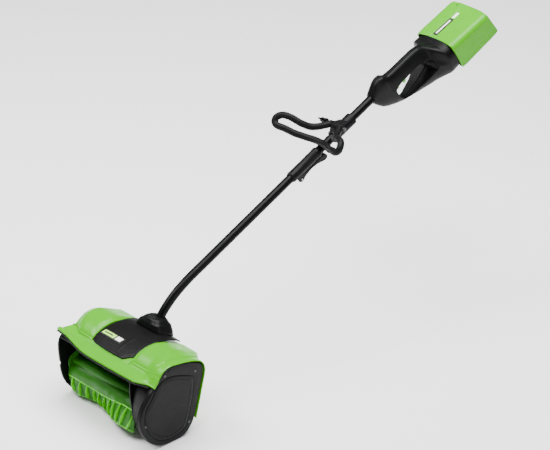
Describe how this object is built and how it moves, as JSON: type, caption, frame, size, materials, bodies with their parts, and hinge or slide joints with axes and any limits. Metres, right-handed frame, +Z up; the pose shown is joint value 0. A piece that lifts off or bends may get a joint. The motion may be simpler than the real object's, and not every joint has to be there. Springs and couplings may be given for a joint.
{
  "type": "cordless snow shovel",
  "caption": "Battery powered snow shovel: belt-driven paddle head, bent two-piece shaft with quick-release coupling, tilting loop handle and trigger grip with battery bay.",
  "frame": {"origin": "on the underside of the scraper bar, on the ground, below the impeller axle and in the plane of the shaft", "axes": "+Z up, +X along the impeller axle towards the belt drive, +Y towards the user, -Y the throwing direction"},
  "size_m": [0.3546, 1.3173, 0.7387],
  "materials": {
    "green_shell": "lime green moulded plastic, semi-gloss",
    "green_impeller": "green moulded rubber-edged plastic, satin",
    "green_controls": "green moulded plastic",
    "black_plastic": "fine textured black moulded plastic",
    "black_paint": "satin black powder coat",
    "black_rubber": "matt black rubber or soft grip",
    "steel": "zinc plated or ground steel",
    "aluminium": "machined",
    "motor_case": "plated can",
    "board": "circuit board"
  },
  "bodies": {
    "head": {"hood_shell": "green_shell", "centre_cover": "black_plastic", "shaft_collar": "black_plastic", "front_edge_strip": "black_rubber", "intake_liner": "black_plastic", "far_side_plate": "black_plastic", "near_side_wall": "black_plastic", "drive_housing": "black_plastic", "drive_cover": "black_plastic", "scraper_bar": "black_rubber", "bearing_far": "steel", "bearing_near": "steel", "motor": "motor_case", "drive_belt": "black_rubber", "lower_tube": "black_paint", "coupling_sleeve": "black_plastic", "latch_pin": "steel", "cover_screw_1": "steel", "cover_screw_2": "steel", "cover_screw_3": "steel", "cover_screw_4": "steel"},
    "impeller_shaft": {"impeller": "green_impeller", "impeller_axle": "steel", "impeller_pulley": "black_plastic"},
    "motor_rotor": {"motor_shaft": "steel", "motor_pulley": "aluminium"},
    "latch": {"latch_lever": "black_plastic"},
    "upper_shaft": {"upper_tube": "black_paint", "handle_left": "black_plastic", "handle_right": "black_plastic", "trigger_pin": "steel", "switch_module": "black_plastic", "controller_board": "board", "terminal_block": "black_plastic", "battery_housing": "green_shell", "handle_screw_1": "steel", "handle_screw_2": "steel", "handle_screw_3": "steel", "handle_screw_4": "steel"},
    "loop_clamp": {"clamp_upper": "black_plastic", "clamp_lower": "black_plastic", "clamp_bolt": "steel"},
    "loop": {"loop_handle": "black_rubber"},
    "knob": {"wing_knob": "black_plastic"},
    "trigger": {"trigger": "green_controls"},
    "lockout": {"lockout_button": "green_controls"},
    "battery": {"battery_pack": "black_plastic"},
    "battery_latch": {"battery_release": "green_shell"}
  },
  "joints": [
    {"name": "impeller_spin", "type": "hinge", "parent": "head", "child": "impeller_shaft", "pos_m": [0, -0.016, 0.085], "axis": [1, 0, 0], "continuous": true},
    {"name": "motor_spin", "type": "hinge", "parent": "head", "child": "motor_rotor", "pos_m": [0, 0.038, 0.138], "axis": [1, 0, 0], "continuous": true},
    {"name": "latch_swing", "type": "hinge", "parent": "head", "child": "latch", "pos_m": [0, 0.57635, 0.44016], "axis": [-1, 0, 0], "range_deg": [0, 75]},
    {"name": "shaft_pull", "type": "slide", "parent": "head", "child": "upper_shaft", "axis": [0, 0.9001, 0.4356], "range_m": [0, 0.05]},
    {"name": "clamp_slide", "type": "slide", "parent": "upper_shaft", "child": "loop_clamp", "axis": [0, 0.9001, 0.4356], "range_m": [0, 0.06]},
    {"name": "loop_tilt", "type": "hinge", "parent": "loop_clamp", "child": "loop", "pos_m": [0, 0.69602, 0.5464], "axis": [-1, 0, 0], "range_deg": [0, 60]},
    {"name": "knob_turn", "type": "hinge", "parent": "loop_clamp", "child": "knob", "pos_m": [0, 0.69602, 0.5464], "axis": [-1, 0, 0], "continuous": true},
    {"name": "trigger_pull", "type": "hinge", "parent": "upper_shaft", "child": "trigger", "pos_m": [0, 0.89708, 0.61761], "axis": [1, 0, 0], "range_deg": [0, 8], "stiffness_Nm_per_rad": 0.6, "springref_deg": -5.73},
    {"name": "lockout_press", "type": "slide", "parent": "upper_shaft", "child": "lockout", "axis": [0, -0.9001, -0.4356], "range_m": [0, 0.003], "stiffness_N_per_m": 150, "springref_m": -0.002},
    {"name": "battery_slide", "type": "slide", "parent": "upper_shaft", "child": "battery", "axis": [0, 0.9001, 0.4356], "range_m": [0, 0.12]},
    {"name": "battery_release_press", "type": "slide", "parent": "upper_shaft", "child": "battery_latch", "axis": [0, 0.4356, -0.9001], "range_m": [0, 0.002], "stiffness_N_per_m": 200, "springref_m": -0.002}
  ],
  "couplings": [
    {"joint": "motor_spin", "follows": "impeller_spin", "ratio": 3}
  ]
}
